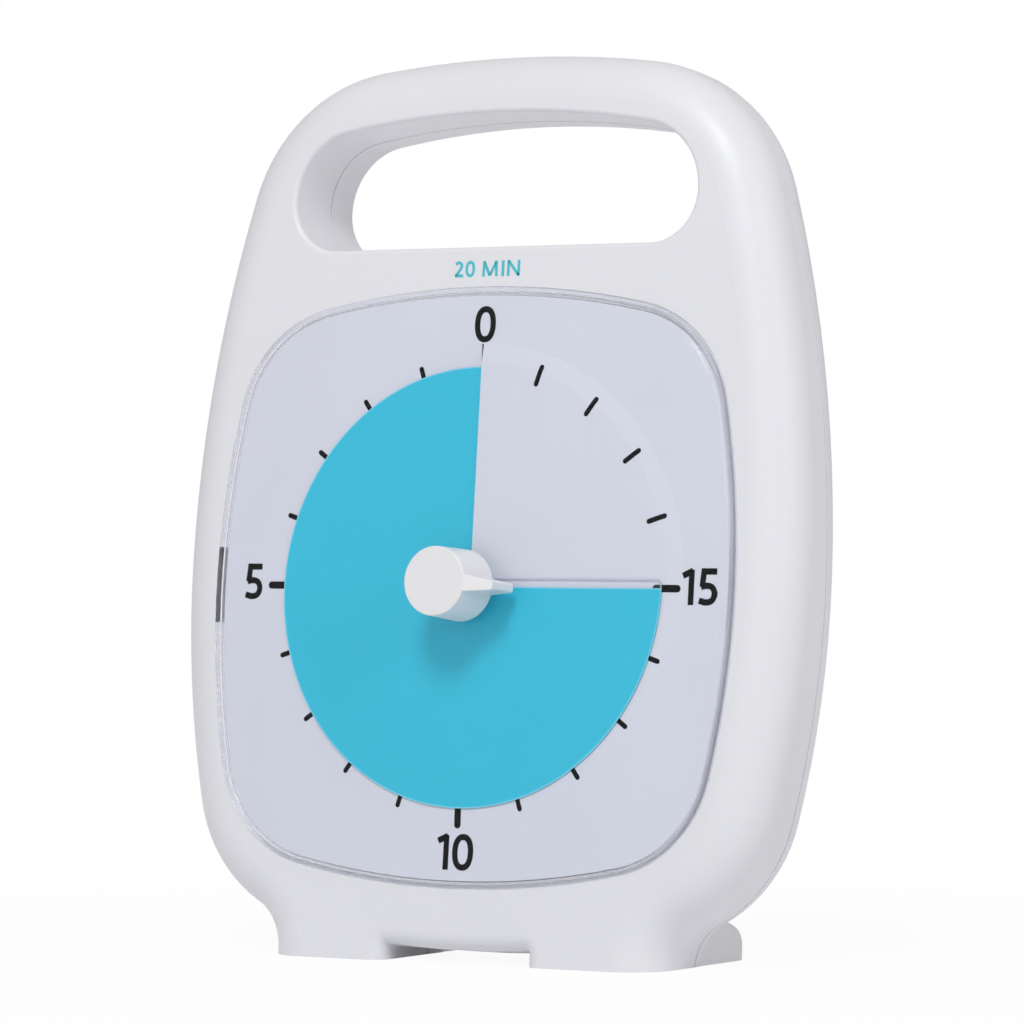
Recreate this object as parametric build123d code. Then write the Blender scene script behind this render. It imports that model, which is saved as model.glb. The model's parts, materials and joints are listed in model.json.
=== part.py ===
from build123d import *
import math
import os

# Visual countdown timer.  Millimetres.  Every piece is first drawn in the face frame: X to the right,
# Y back into the body, Z up along the face, with the centre of the dial at the origin.  place() then
# leans the face back and stands the feet on Z = 0.

# Stance
BACK_LEAN = 5.8             # degrees that the face leans back
REAR_LEAN = 1.65            # degrees that the back of the body leans forward of the face
DIAL_HEIGHT = 73.3          # centre of the dial above the table

# Body outline, at the seam
BODY_HALF_WIDTH = 70.35
BODY_WAIST_Z = 3.8          # height of the widest place
BODY_TOP_Z = 106.3
BODY_BOTTOM_Z = -70.9
TOP_BOW = 246.0             # radii of the four bowed sides
UPPER_SIDE_BOW = 275.0
LOWER_SIDE_BOW = 208.0
BOTTOM_BOW = 198.0
TOP_CORNER = 34.3
BOTTOM_CORNER = 30.3
WALL = 2.2
SEAM_DEPTH = 15.5
BODY_DEPTH = 24.0
FRONT_ROUND = 9.0
REAR_ROUND = 8.2
GROOVE = 0.25               # depth of the fine groove along the seam
GROOVE_HALF_WIDTH = 0.18
TONGUE_GAP = 0.25           # the rear half's tongue stands this far inside the front half's wall
TONGUE_THICKNESS = 0.95
TONGUE_REACH = 2.0

# Feet
FOOT_INNER_X = 16.4
FOOT_OUTER_X = 44.5
FOOT_FLARE = 10.0           # hollow blend from the body down to the outside of a foot
FOOT_CORNER = 0.6           # corner between the underside and the inside of a foot
FOOT_INNER_ROUND = 3.2      # rounding of the front and back edges between the feet
FOOT_ROOT_Z = -58.0         # feet start inside the body from here
FOOT_HEEL_DEPTH = 37.0      # how far back the heels reach
HEEL_ROOT_Z = -58.3         # the heel's back slopes from here at the seam
HEEL_REAR_Z = -64.4         # to here at its end
HEEL_ROUND = 4.5
HEEL_SIDE_ROUND = 2.6
HEEL_INSET = 0.4
BELOW_TABLE_Z = -92.0       # feet are drawn down to here and then cut level

# Hand hole through the handle
GRIP_HALF_WIDTH = 46.2
GRIP_BOTTOM_Z = 67.3
GRIP_TOP_Z = 94.1
GRIP_BOW = 200.0
GRIP_LOWER_CORNER = 10.2
GRIP_UPPER_CORNER = 13.6
GRIP_LIP = 0.9

# Window, lens and dial are one bowed square, stepped in and out
WINDOW_HALF = 59.35
WINDOW_BOW = 178.0
WINDOW_CORNER = 24.8
LENS_GAP = 0.25
LENS_PROUD = 3.0
LENS_WALL = 1.2
LENS_EDGE_ROUND = 2.3
LENS_HOLE_R = 4.2
LEDGE_HALF = 57.9           # opening of the ledge that the lens's rim stands on
LEDGE_Y = 1.0               # front of that ledge
LEDGE_GAP = 0.05
CLIP_HALF = 7.3             # half length of the clip at the left and the right of the lens
CLIP_SLACK = 0.3
CLIP_THICKNESS = 0.4
CLIP_SLOT = 0.7             # width of the slot that a clip goes through
CLIP_BARB = 0.7             # overhang of the clip's barb behind the housing
CLIP_BARB_Y = 2.35
CLIP_BACK_Y = 3.4
DIAL_HALF = 57.6
DIAL_THICKNESS = 1.0
DIAL_HOLE_R = 5.4

# Film that turns through the slit in the dial.  Height above the dial is measured towards the viewer.
FILM_R = 43.4
FILM_THICKNESS = 0.15
FILM_RISE = 0.8             # climb of the film in one turn
FILM_SPAN = 368.0           # degrees of coloured film
REST_ANGLE = 270.0          # degrees of film that show at 15 minutes
STRIP_WIDTH = 1.7
STRIP_CORNER = 1.2
SPIRAL_R = 44.2             # edge of the part of the dial that climbs with the film
LEVEL_R = 47.8              # the dial is level again from here
SPIRAL_SHEET = 0.3
SLIT_WIDTH = 0.5
SLIT_TOP_Z = 47.9

# Tray behind the dial
CARRIER_HALF = 57.6
CARRIER_BACK_Y = 4.8
CARRIER_RIM_HALF = 61.3
CARRIER_RIM_Y = 2.4         # front of the rim behind the housing's wall
CARRIER_WELL_Y = 1.8        # bottom of the round well for the film
CARRIER_FLOOR_Y = 3.0
CARRIER_EDGE = 4.0
CARRIER_HOLE_R = 4.05

# Arbor, hub and knob
ARBOR_R = 2.0
ARBOR_FLAT = 1.5            # the arbor's flat, from its axis
RUNNING = 0.04              # radial clearance of a running fit
KNOB_FIT = 0.02             # radial clearance of the knob on the arbor
HUB_R = 4.6
KNOB_R = 6.8
KNOB_BASE_R = 7.1
KNOB_FRONT_Y = -13.9
KNOB_BACK_Y = -3.5
KNOB_FACE = 2.5             # thickness of the knob in front of the arbor's end
KNOB_EDGE = 0.35
KNOB_COLLAR_R = 3.4
KNOB_COLLAR_Y = -1.7
POINTER_R = 11.8
POINTER_FRONT_Y = -11.0
POINTER_ROOT_HALF = 1.6     # half widths of the pointer where it leaves the knob and at its end
POINTER_END_HALF = 0.85
POINTER_DROOP = 2.4         # degrees that the pointer sits behind the film's leading edge

# Clock movement
MOVEMENT_HALF = 28.0
MOVEMENT_FRONT_Y = 3.1
MOVEMENT_SPLIT_Y = 11.0
MOVEMENT_BACK_Y = 18.6
MOVEMENT_CORNER = 4.0
MOVEMENT_SCREW_INSET = 3.6
CASE_WALL = 1.2
CASE_POST_R = 2.4
CASE_PILOT_R = 0.95
CASE_HOLE_R = 1.15
FRONT_BUSH = (3.9, 2.0)     # radius and front of the bush in front of the case
INNER_BUSH = (3.4, 6.4)     # radius and back of the bush inside it
REAR_BUSH = (3.6, 3.0)      # radius and length of the bush in the rear case
TOOTH_MODULE = 0.4
BACKLASH = 0.14
SHAFT_R = 0.6
STANDOFF_R = 1.0            # collars that hold the wheels off the case
OUTPUT_TEETH = 60
THIRD_TEETH = 54
THIRD_PINION_TEETH = 8
ROTOR_PINION_TEETH = 8
OUTPUT_WHEEL_Y = (6.6, 7.6)
OUTPUT_COLLAR = (3.4, 9.0)  # radius and back of the clutch collar
SPOKE_HOLES = (5, 2.6, 8.6)  # count, radius and distance from the arbor
THIRD_PINION_Y = (6.2, 9.6)
THIRD_WHEEL_Y = (9.6, 10.4)
ROTOR_PINION_Y = (9.2, 12.0)
MAGNET_R = 3.0
MAGNET_BACK_Y = 15.5
TRAIN_BEND = 118.0          # degrees between the two steps of the train
COIL_X = -19.0
COIL_Y = 13.5
COIL_Z = 8.6
COIL_R = 3.2
COIL_BORE_R = 1.3
COIL_LENGTH = 20.0
COIL_CHEEK = (3.7, 1.2)     # radius and thickness of the coil's end cheeks
STATOR_HALF = 0.7           # half thickness of the iron core
STATOR_ARM = 4.2
MESH_SLACK = 0.1            # how much the wheel centres are spread beyond pitch contact

# Control board, above the movement
BOARD = (-24.0, 24.0, 9.6, 11.2, 33.5, 54.5)
BOARD_HOLES = (1.4, 21.0, 51.5)  # radius, distance to each side, height
CHIP = (-6.0, 6.0, 11.2, 13.0, 40.0, 47.0)
CHIP_LEGS = 8
CHIP_LEG = (0.25, 1.4, 0.8)  # half width, reach above and below the body, height off the board
CRYSTAL = (15.0, 13.0, 44.0)
CRYSTAL_R = 1.5
CRYSTAL_LENGTH = 8.0
CRYSTAL_LEG = (0.6, 0.2, 38.6)  # distance to each side, half width, lower end

# Battery
CELL_R = 7.2
CELL_LENGTH = 50.0
CELL_Y = 13.0
CELL_Z = -45.6
CELL_CAP = (2.7, 0.7)       # radius and height of the positive cap
BOX_FRONT_Y = 4.9
BOX_FLOOR = 0.3
BOX_WALL = 1.2
DOOR_HALF_X = 31.0
DOOR_LOW_Z = -55.0
DOOR_HIGH_Z = -36.2
DOOR_GAP = 0.3
DOOR_LEDGE = 0.6            # how far the door stands inside the compartment's outline
DOOR_CORNER = 2.0
DOOR_THICKNESS = 1.4
DOOR_PROUD = 0.2
FINGER_RIBS = (3, 1.8, 6.0)  # count, spacing and half length
CONTACT_Y = (8.0, 18.0)
CONTACT_HALF = 5.0
CONTACT_THICKNESS = 0.4
SPRING_R = 3.2
SPRING_WIRE_R = 0.35
SPRING_TURNS = 4

# Alarm volume wheel and buzzer, on the back
VOLUME_X = -46.0
SIDE_PARTS_Z = 12.0
VOLUME_R = 8.0
VOLUME_PROUD = 2.2
VOLUME_NOTCHES = 24
VOLUME_NOTCH_R = 0.6
VOLUME_RIB = (1.0, 5.6, 1.2)  # half width, half length and height
VOLUME_STEM_R = 2.0
VOLUME_STEM = 6.2
POT_HALF = 6.0
POT_Y = (13.0, 18.0)
POT_BUSH = (3.2, 19.6)      # radius and back of the bushing
BUZZER_X = 46.0
BUZZER_R = 11.0
BUZZER_WALL = 1.2
BUZZER_FRONT_Y = 15.2
BUZZER_FLOOR_Y = 18.0
BUZZER_POST_R = 2.0
GRILLE_SPACING = 3.4
GRILLE_SLOT = 1.4

# Screws
SCREW_PLACES = [(51.0, 58.5), (-51.0, 58.5), (0.0, 100.5), (0.0, -65.2)]
SCREW_SEAT_Y = 20.5
SCREW_TIP_Y = 7.0
SCREW_POCKET_R = 3.2
SCREW_HOLE_R = 1.8
BOSS_R = 3.1
PILOT_R = 1.5
CROSS_HALF = 0.3            # half width of the cross cut in a screw's head
CASE_SCREW = {
    "seat_y": SCREW_SEAT_Y,
    "tip_y": SCREW_TIP_Y,
    "shank_r": 1.45,
    "head_r": 2.9,
    "head_h": 1.9,
}
MOVEMENT_SCREW = {
    "seat_y": MOVEMENT_BACK_Y,
    "tip_y": 6.0,
    "shank_r": 0.9,
    "head_r": 1.9,
    "head_h": 1.2,
}


def flat(sketch, y0, y1):
    """A sketch drawn in X and Z, given thickness from depth y0 to depth y1."""
    return extrude(Pos(0, y0, 0) * (Plane.XZ * sketch), amount=y1 - y0, dir=(0, 1, 0))


def rod(radius, y0, y1, x=0.0, z=0.0):
    """A cylinder along Y from y0 to y1."""
    return Pos(x, (y0 + y1) / 2, z) * Rot(X=90) * Cylinder(radius, y1 - y0)


def block(x0, x1, y0, y1, z0, z1):
    """A box by its limits."""
    return Pos((x0 + x1) / 2, (y0 + y1) / 2, (z0 + z1) / 2) * Box(x1 - x0, y1 - y0, z1 - z0)


def front_edges(solid, y):
    """The edges of a solid that lie wholly at depth y."""
    found = []
    for edge in solid.edges():
        box = edge.bounding_box()
        if abs(box.min.Y - y) < 1e-3 and abs(box.max.Y - y) < 1e-3:
            found.append(edge)
    return found


def arc_of(circle, start, end):
    """The shorter arc of a circle (x, z, radius) between two of its points."""
    x, z, radius = circle
    mx, mz = (start[0] + end[0]) / 2 - x, (start[1] + end[1]) / 2 - z
    reach = radius / math.hypot(mx, mz)
    return ThreePointArc(start, (x + mx * reach, z + mz * reach), end)


def crossing(first, second, upper):
    """Where two circles (x, z, radius) cross on the right: the upper or the lower point."""
    dx, dz = second[0] - first[0], second[1] - first[1]
    gap = math.hypot(dx, dz)
    along = (first[2] ** 2 - second[2] ** 2 + gap ** 2) / (2 * gap)
    across = math.sqrt(first[2] ** 2 - along ** 2)
    middle = (first[0] + along * dx / gap, first[1] + along * dz / gap)
    points = []
    for side in (-1, 1):
        points.append((middle[0] - side * across * dz / gap, middle[1] + side * across * dx / gap))
    points = [p for p in points if p[0] > 0] or points
    return max(points, key=lambda p: p[1]) if upper else min(points, key=lambda p: p[1])


def round_corners(sketch, places, radius):
    """Rounds the sketch's corners nearest to the places given."""
    for place_xz in places:
        corner = min(sketch.vertices(), key=lambda v: math.hypot(v.X - place_xz[0], v.Y - place_xz[1]))
        sketch = fillet(corner, radius)
    return sketch


def body_outline(step=0.0):
    """The outline of the body without its feet: four bowed sides and four rounded corners."""
    top = (0, BODY_TOP_Z - TOP_BOW, TOP_BOW + step)
    upper = (BODY_HALF_WIDTH - UPPER_SIDE_BOW, BODY_WAIST_Z, UPPER_SIDE_BOW + step)
    lower = (BODY_HALF_WIDTH - LOWER_SIDE_BOW, BODY_WAIST_Z, LOWER_SIDE_BOW + step)
    bottom = (0, BODY_BOTTOM_Z + BOTTOM_BOW, BOTTOM_BOW + step)
    high = crossing(upper, top, True)
    low = crossing(lower, bottom, False)
    waist = (BODY_HALF_WIDTH + step, BODY_WAIST_Z)
    edges = [arc_of(top, (-high[0], high[1]), high), arc_of(bottom, (-low[0], low[1]), low)]
    for side in (-1, 1):
        for (x, z, radius), end in ((upper, high), (lower, low)):
            edges.append(arc_of((side * x, z, radius), (side * waist[0], waist[1]), (side * end[0], end[1])))
    outline = make_face(edges)
    outline = round_corners(outline, [high, (-high[0], high[1])], TOP_CORNER + step)
    return round_corners(outline, [low, (-low[0], low[1])], BOTTOM_CORNER + step)


def footed_outline(step=0.0):
    """The body outline with both feet, drawn down past the table."""
    width = FOOT_OUTER_X - FOOT_INNER_X + 2 * step
    height = FOOT_ROOT_Z - BELOW_TABLE_Z
    foot = Pos((FOOT_OUTER_X + FOOT_INNER_X) / 2, BELOW_TABLE_Z + height / 2) * Rectangle(width, height)
    outline = Sketch() + body_outline(step) + foot + mirror(foot, Plane.YZ)
    for x, radius in ((FOOT_OUTER_X + step, FOOT_FLARE), (FOOT_INNER_X - step, FOOT_CORNER)):
        for side in (-1, 1):
            outline = round_corners(outline, [(side * x, BODY_BOTTOM_Z + 3)], radius - step)
    return outline


def lean(solid):
    """Turns what is drawn square to the back into its place behind the face, about the seam."""
    return Pos(0, SEAM_DEPTH, 0) * Rot(X=REAR_LEAN) * Pos(0, -SEAM_DEPTH, 0) * solid


def grip_outline(step=0.0):
    """The hand hole; step makes it larger all round."""
    half, bow = GRIP_HALF_WIDTH + step, GRIP_BOW + step
    bottom, top = GRIP_BOTTOM_Z - step, GRIP_TOP_Z + step
    arch = (0, top - bow, bow)
    shoulder = (half, arch[1] + math.sqrt(bow ** 2 - half ** 2))
    edges = [
        arc_of(arch, (-shoulder[0], shoulder[1]), shoulder),
        Line(shoulder, (half, bottom)),
        Line((half, bottom), (-half, bottom)),
        Line((-half, bottom), (-shoulder[0], shoulder[1])),
    ]
    outline = make_face(edges)
    outline = round_corners(outline, [(half, bottom), (-half, bottom)], GRIP_LOWER_CORNER + step)
    return round_corners(outline, [shoulder, (-shoulder[0], shoulder[1])], GRIP_UPPER_CORNER + step)


def bowed_square(half):
    """The window's outline, stepped in or out to another half width."""
    step = half - WINDOW_HALF
    bow = WINDOW_BOW + step
    offset = bow - half
    corner = (math.sqrt(2 * bow ** 2 - offset ** 2) - offset) / 2
    edges = []
    for turn in range(4):
        edges.append(Rot(Z=90 * turn) * arc_of((0, half - bow, bow), (-corner, corner), (corner, corner)))
    places = [(x * corner, z * corner) for x in (-1, 1) for z in (-1, 1)]
    return round_corners(make_face(edges), places, WINDOW_CORNER + step)


def clip_zone(slack=0.0):
    """The middles of the left and right sides, where the lens clips in."""
    return Rectangle(3 * WINDOW_HALF, 2 * (CLIP_HALF + slack))


def table():
    """Everything below the table, seen from the face frame."""
    solid = Pos(0, 0, -DIAL_HEIGHT - 50) * Box(300, 300, 100)
    return Rot(X=BACK_LEAN) * solid


def rim_edges(solid, y, between_feet):
    """The rim's edges at depth y: those between the feet, or all the others."""
    found = []
    for edge in front_edges(solid, y):
        box = edge.bounding_box()
        inside = max(abs(box.min.X), abs(box.max.X)) < FOOT_INNER_X + 0.1
        if inside == between_feet and box.max.Z > BELOW_TABLE_Z + 0.1:
            found.append(edge)
    return found


def grip_rim(solid, y):
    """The edges round the hand hole at depth y."""
    found = []
    for edge in front_edges(solid, y):
        box = edge.bounding_box()
        if abs(box.center().X) < 60 and box.min.Z > GRIP_BOTTOM_Z - 1 and box.max.Z < GRIP_TOP_Z + 1:
            found.append(edge)
    return found


def half_block(y0, y1, end_y, round_r):
    """One half of the housing as a block, its rim rounded at end_y, and less so between the feet."""
    solid = flat(footed_outline(), y0, y1)
    solid = fillet(rim_edges(solid, end_y, False), round_r)
    solid = fillet(rim_edges(solid, end_y, True), FOOT_INNER_ROUND)
    solid -= flat(grip_outline(), y0 - 1, y1 + 1)
    return fillet(grip_rim(solid, end_y), GRIP_LIP)


def cavity(y0, y1, end_y, round_r, wall=WALL):
    """The hollow of one half of the housing, round the hand hole, rounded at its closed end."""
    solid = flat(body_outline(-wall), y0, y1)
    solid = fillet(front_edges(solid, end_y), round_r - wall)
    return solid - flat(grip_outline(wall), y0 - 1, y1 + 1)


def seam_groove(y0, y1):
    """A slice of all that lies outside the housing, grown into it by the groove's depth."""
    around = Rectangle(4 * BODY_HALF_WIDTH, 4 * BODY_TOP_Z) - footed_outline(-GROOVE)
    return flat(around + grip_outline(GROOVE), y0, y1)


def front_housing():
    """The front half, cut off behind at the seam, with screw bosses that stand square to the back."""
    past_seam = SEAM_DEPTH + 5
    solid = half_block(0, past_seam, 0, FRONT_ROUND)
    solid -= cavity(WALL, past_seam + 1, WALL, FRONT_ROUND)
    solid -= flat(bowed_square(WINDOW_HALF), -1, LEDGE_Y)
    solid -= flat(bowed_square(LEDGE_HALF), 0, WALL + 1)
    slot = bowed_square(WINDOW_HALF) - bowed_square(WINDOW_HALF - CLIP_SLOT)
    solid -= flat(slot & clip_zone(CLIP_SLACK), 0, WALL + 1)
    room = cavity(WALL / 2, past_seam, WALL / 2, FRONT_ROUND, WALL / 2)
    for x, z in SCREW_PLACES:
        solid += lean(rod(BOSS_R, -4, past_seam, x, z)) & room
    for x, z in SCREW_PLACES:
        solid -= lean(rod(PILOT_R, SCREW_TIP_Y - 0.5, past_seam + 1, x, z))
    solid -= lean(block(-100, 100, SEAM_DEPTH, past_seam + 9, 2 * BELOW_TABLE_Z, 2 * BODY_TOP_Z))
    solid -= lean(seam_groove(SEAM_DEPTH - GROOVE_HALF_WIDTH, SEAM_DEPTH + 1))
    return solid - table()


def heel(side):
    """The back of a foot: a block whose top slopes down to a rounded heel."""
    rear = (FOOT_HEEL_DEPTH, HEEL_REAR_Z)
    profile = make_face(Polyline((SEAM_DEPTH, HEEL_ROOT_Z), rear, (FOOT_HEEL_DEPTH, BELOW_TABLE_Z),
                                 (SEAM_DEPTH, BELOW_TABLE_Z), close=True))
    profile = round_corners(profile, [rear], HEEL_ROUND)
    width = FOOT_OUTER_X - FOOT_INNER_X - 2 * HEEL_INSET
    middle = side * (FOOT_OUTER_X + FOOT_INNER_X) / 2
    solid = extrude(Plane.YZ.offset(middle - width / 2) * profile, amount=width)
    rims = []
    for edge in solid.edges():
        box = edge.bounding_box()
        along_side = box.max.X - box.min.X < 0.01
        if along_side and box.max.Y > SEAM_DEPTH + 0.1 and box.max.Z > BELOW_TABLE_Z + 0.1:
            rims.append(edge)
    return fillet(rims, HEEL_SIDE_ROUND)


def grille():
    """Slots over the buzzer, shorter towards the top and the bottom."""
    slots = Sketch()
    for row in range(-2, 3):
        rise = row * GRILLE_SPACING
        length = 2 * math.sqrt((BUZZER_R - GRILLE_SLOT) ** 2 - rise ** 2)
        slots += Pos(BUZZER_X, SIDE_PARTS_Z + rise) * SlotOverall(length, GRILLE_SLOT)
    return flat(slots, BODY_DEPTH - WALL - 1, BODY_DEPTH + 1)


def battery_box():
    """Walls of the battery's compartment, from the rear wall forwards."""
    outer = block(-DOOR_HALF_X, DOOR_HALF_X, BOX_FRONT_Y, BODY_DEPTH - 1, DOOR_LOW_Z, DOOR_HIGH_Z)
    half = DOOR_HALF_X - BOX_WALL
    inner = block(-half, half, BOX_FRONT_Y + BOX_FLOOR, BODY_DEPTH + 1, DOOR_LOW_Z + BOX_WALL,
                  DOOR_HIGH_Z - BOX_WALL)
    return outer, inner


def door_outline(step=0.0):
    """The battery door's outline; step makes it larger all round."""
    width = 2 * (DOOR_HALF_X - DOOR_LEDGE + step)
    height = DOOR_HIGH_Z - DOOR_LOW_Z - 2 * DOOR_LEDGE + 2 * step
    return Pos(0, (DOOR_HIGH_Z + DOOR_LOW_Z) / 2) * RectangleRounded(width, height, DOOR_CORNER + step)


def rear_housing():
    """The rear half with its heels, battery compartment, screw pockets, grille and wheel recess."""
    back_wall = BODY_DEPTH - WALL
    solid = half_block(SEAM_DEPTH, BODY_DEPTH, BODY_DEPTH, REAR_ROUND)
    for side in (-1, 1):
        solid += heel(side)
    solid -= cavity(SEAM_DEPTH - 1, back_wall, back_wall, REAR_ROUND)
    outside = body_outline(-WALL - TONGUE_GAP)
    inside = body_outline(-WALL - TONGUE_GAP - TONGUE_THICKNESS)
    solid += flat(outside - inside, SEAM_DEPTH - TONGUE_REACH, SEAM_DEPTH)
    solid += flat(body_outline(-WALL / 2) - inside, SEAM_DEPTH, SEAM_DEPTH + 1)
    outer, inner = battery_box()
    solid += outer
    solid -= inner
    solid -= flat(door_outline(DOOR_GAP), BODY_DEPTH - DOOR_THICKNESS - 0.2, BODY_DEPTH + 1)
    room = cavity(SEAM_DEPTH, BODY_DEPTH - WALL / 2, BODY_DEPTH - WALL / 2, REAR_ROUND, WALL / 2)
    for x, z in SCREW_PLACES:
        solid += rod(BOSS_R + 1.2, SEAM_DEPTH, BODY_DEPTH, x, z) & room
    for x, z in SCREW_PLACES:
        solid -= rod(BOSS_R + 0.1, SEAM_DEPTH - TONGUE_REACH - 1, SEAM_DEPTH, x, z)
        solid -= rod(SCREW_HOLE_R, SEAM_DEPTH - 1, BODY_DEPTH + 1, x, z)
        solid -= rod(SCREW_POCKET_R, SCREW_SEAT_Y, FOOT_HEEL_DEPTH + 1, x, z)
    solid -= rod(VOLUME_R + 0.6, BODY_DEPTH - 0.9, BODY_DEPTH + 1, VOLUME_X, SIDE_PARTS_Z)
    solid -= rod(VOLUME_STEM_R + 0.4, back_wall - 1, BODY_DEPTH + 1, VOLUME_X, SIDE_PARTS_Z)
    solid -= grille()
    solid -= seam_groove(SEAM_DEPTH, SEAM_DEPTH + GROOVE_HALF_WIDTH)
    return lean(solid) - table()


def clear_lens():
    """The window: a bowed cap that stands on a ledge, with a clip at each side."""
    outer = WINDOW_HALF - LENS_GAP
    inside_y = LENS_WALL - LENS_PROUD
    cap = flat(bowed_square(outer), -LENS_PROUD, LEDGE_Y - LEDGE_GAP)
    cap = fillet(front_edges(cap, -LENS_PROUD), LENS_EDGE_ROUND)
    hollow = flat(bowed_square(outer - LENS_WALL), inside_y, LEDGE_Y + 1)
    hollow = fillet(front_edges(hollow, inside_y), LENS_EDGE_ROUND - LENS_WALL)
    inside = bowed_square(outer - CLIP_THICKNESS)
    clips = flat((bowed_square(outer) - inside) & clip_zone(), 0, CLIP_BACK_Y)
    clips += flat((bowed_square(WINDOW_HALF + CLIP_BARB) - inside) & clip_zone(), CLIP_BARB_Y, CLIP_BACK_Y)
    return cap - hollow + clips - rod(LENS_HOLE_R, -LENS_PROUD - 1, 0)


def polar(radius, angle, height):
    """A point of the dial: angle counter-clockwise from the top, height towards the viewer."""
    turn = math.radians(angle)
    return Vector(-radius * math.sin(turn), -height, radius * math.cos(turn))


def spiral_edge(radius, start, end, height, rise):
    """A helix round the dial's axis; rise is its climb per turn towards the viewer, height its start."""
    steps = max(4, int(abs(end - start) / 15))
    stride = (end - start) / steps
    points = [polar(radius, start + stride * i, height + rise * stride * i / 360) for i in range(steps + 1)]
    ends = [spiral_tangent(radius, start, rise), spiral_tangent(radius, end, rise)]
    turns = [math.radians(stride * i) for i in range(steps + 1)]
    return Edge.make_spline(points, tangents=ends, parameters=turns, scale=False)


def spiral_tangent(radius, angle, rise):
    turn = math.radians(angle)
    return Vector(-radius * math.cos(turn), -rise / (2 * math.pi), -radius * math.sin(turn))


def spiral_sheet(rings, start, end, thickness):
    """A sheet that climbs round the dial's axis.  rings are (radius, height at start, climb per turn)."""
    def edges(shift):
        return [spiral_edge(r, start, end, h + shift, rise) for r, h, rise in rings]
    upper, lower = edges(thickness / 2), edges(-thickness / 2)
    faces = []
    for sheet in (upper, lower):
        for first, second in zip(sheet, sheet[1:]):
            faces.append(Face.make_surface_from_curves(first, second))
    faces.append(Face.make_surface_from_curves(upper[0], lower[0]))
    faces.append(Face.make_surface_from_curves(upper[-1], lower[-1]))
    for at in (0, 1):
        loop = [edge.position_at(at) for edge in upper] + [edge.position_at(at) for edge in reversed(lower)]
        faces.append(Face(Wire.make_polygon(loop, close=True)))
    return Solid(Shell(faces))


def film_height(angle):
    """Height of the film at a place on the dial, the same wherever the film is turned to."""
    return FILM_RISE * angle / 360


def dial_plate():
    """A level plate whose middle climbs once round from one lip of the slit to the other."""
    solid = flat(bowed_square(DIAL_HALF) - Circle(LEVEL_R), 0, DIAL_THICKNESS)
    for start in (0, 180):
        low = film_height(start - 180)
        level = (LEVEL_R + 0.2, -SPIRAL_SHEET / 2, 0)
        rings = [(DIAL_HOLE_R, low, FILM_RISE), (SPIRAL_R, low, FILM_RISE), level]
        solid += spiral_sheet(rings, start, start + 180, SPIRAL_SHEET)
    return solid - block(-SLIT_WIDTH / 2, SLIT_WIDTH / 2, -2, 2, 0, SLIT_TOP_Z)


def dial_carrier():
    """The moulded tray behind the dial, with a well for the film that is put away and room for the clips."""
    solid = flat(bowed_square(CARRIER_HALF), DIAL_THICKNESS, CARRIER_BACK_Y)
    rim = bowed_square(CARRIER_RIM_HALF) - bowed_square(CARRIER_HALF - 1)
    solid += flat(rim, CARRIER_RIM_Y, CARRIER_BACK_Y)
    barb_room = bowed_square(CARRIER_RIM_HALF + 1) - bowed_square(CARRIER_HALF)
    solid -= flat(barb_room & clip_zone(CLIP_SLACK), DIAL_THICKNESS, CLIP_BACK_Y + CLIP_SLACK)
    solid -= rod(LEVEL_R - 1.5, 0, CARRIER_WELL_Y)
    solid -= flat(bowed_square(CARRIER_HALF - CARRIER_EDGE), CARRIER_FLOOR_Y, CARRIER_BACK_Y + 1)
    return solid - rod(CARRIER_HOLE_R, 0, CARRIER_BACK_Y + 1)


def colour_film():
    start = REST_ANGLE - FILM_SPAN
    rings = [(HUB_R, film_height(start), FILM_RISE), (FILM_R, film_height(start), FILM_RISE)]
    return spiral_sheet(rings, start, REST_ANGLE, FILM_THICKNESS)


def film_lead_strip():
    """The clear strip ahead of the coloured edge."""
    y = -film_height(REST_ANGLE)
    solid = block(HUB_R, FILM_R, y - FILM_THICKNESS / 2, y + FILM_THICKNESS / 2, 0.0, STRIP_WIDTH)
    outer = solid.edges().filter_by(Axis.Y).sort_by(lambda edge: edge.center().X + edge.center().Z)[-1]
    return fillet(outer, STRIP_CORNER)


def film_hub():
    """The sleeve that carries the film; a flat in its bore turns it with the arbor and lets it slide."""
    back = film_height(REST_ANGLE - FILM_SPAN) - 0.1
    front = film_height(REST_ANGLE) + 0.1
    solid = rod(HUB_R - 0.02, -front, -back)
    bore = rod(ARBOR_R + RUNNING, -2, 2) - block(-3, 3, -3, 3, ARBOR_FLAT + RUNNING, 4)
    return solid - bore


def output_arbor():
    """The shaft from the movement to the knob, flatted where the hub and the knob sit."""
    solid = rod(ARBOR_R, KNOB_FRONT_Y + KNOB_FACE, MOVEMENT_BACK_Y - CASE_WALL - 0.3)
    solid -= block(-3, 3, KNOB_FRONT_Y, MOVEMENT_FRONT_Y - 1.6, ARBOR_FLAT, 4)
    return solid


def setting_knob():
    """A plain round knob, a little wider at its root, with a fin for a pointer, on a flatted arbor."""
    side = [(0, KNOB_FRONT_Y), (KNOB_R, KNOB_FRONT_Y), (KNOB_BASE_R, KNOB_BACK_Y), (0, KNOB_BACK_Y)]
    profile = make_face(Polyline(*side, close=True))
    solid = revolve(profile, Axis.Y)
    solid = fillet(front_edges(solid, KNOB_FRONT_Y), KNOB_EDGE)
    solid += pointer_fin()
    solid += rod(KNOB_COLLAR_R, KNOB_BACK_Y - 0.5, KNOB_COLLAR_Y)
    bore = rod(ARBOR_R + KNOB_FIT, KNOB_FRONT_Y + KNOB_FACE, 0)
    bore -= block(-3, 3, 2 * KNOB_FRONT_Y, 0, ARBOR_FLAT + KNOB_FIT, 4)
    return solid - bore


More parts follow.
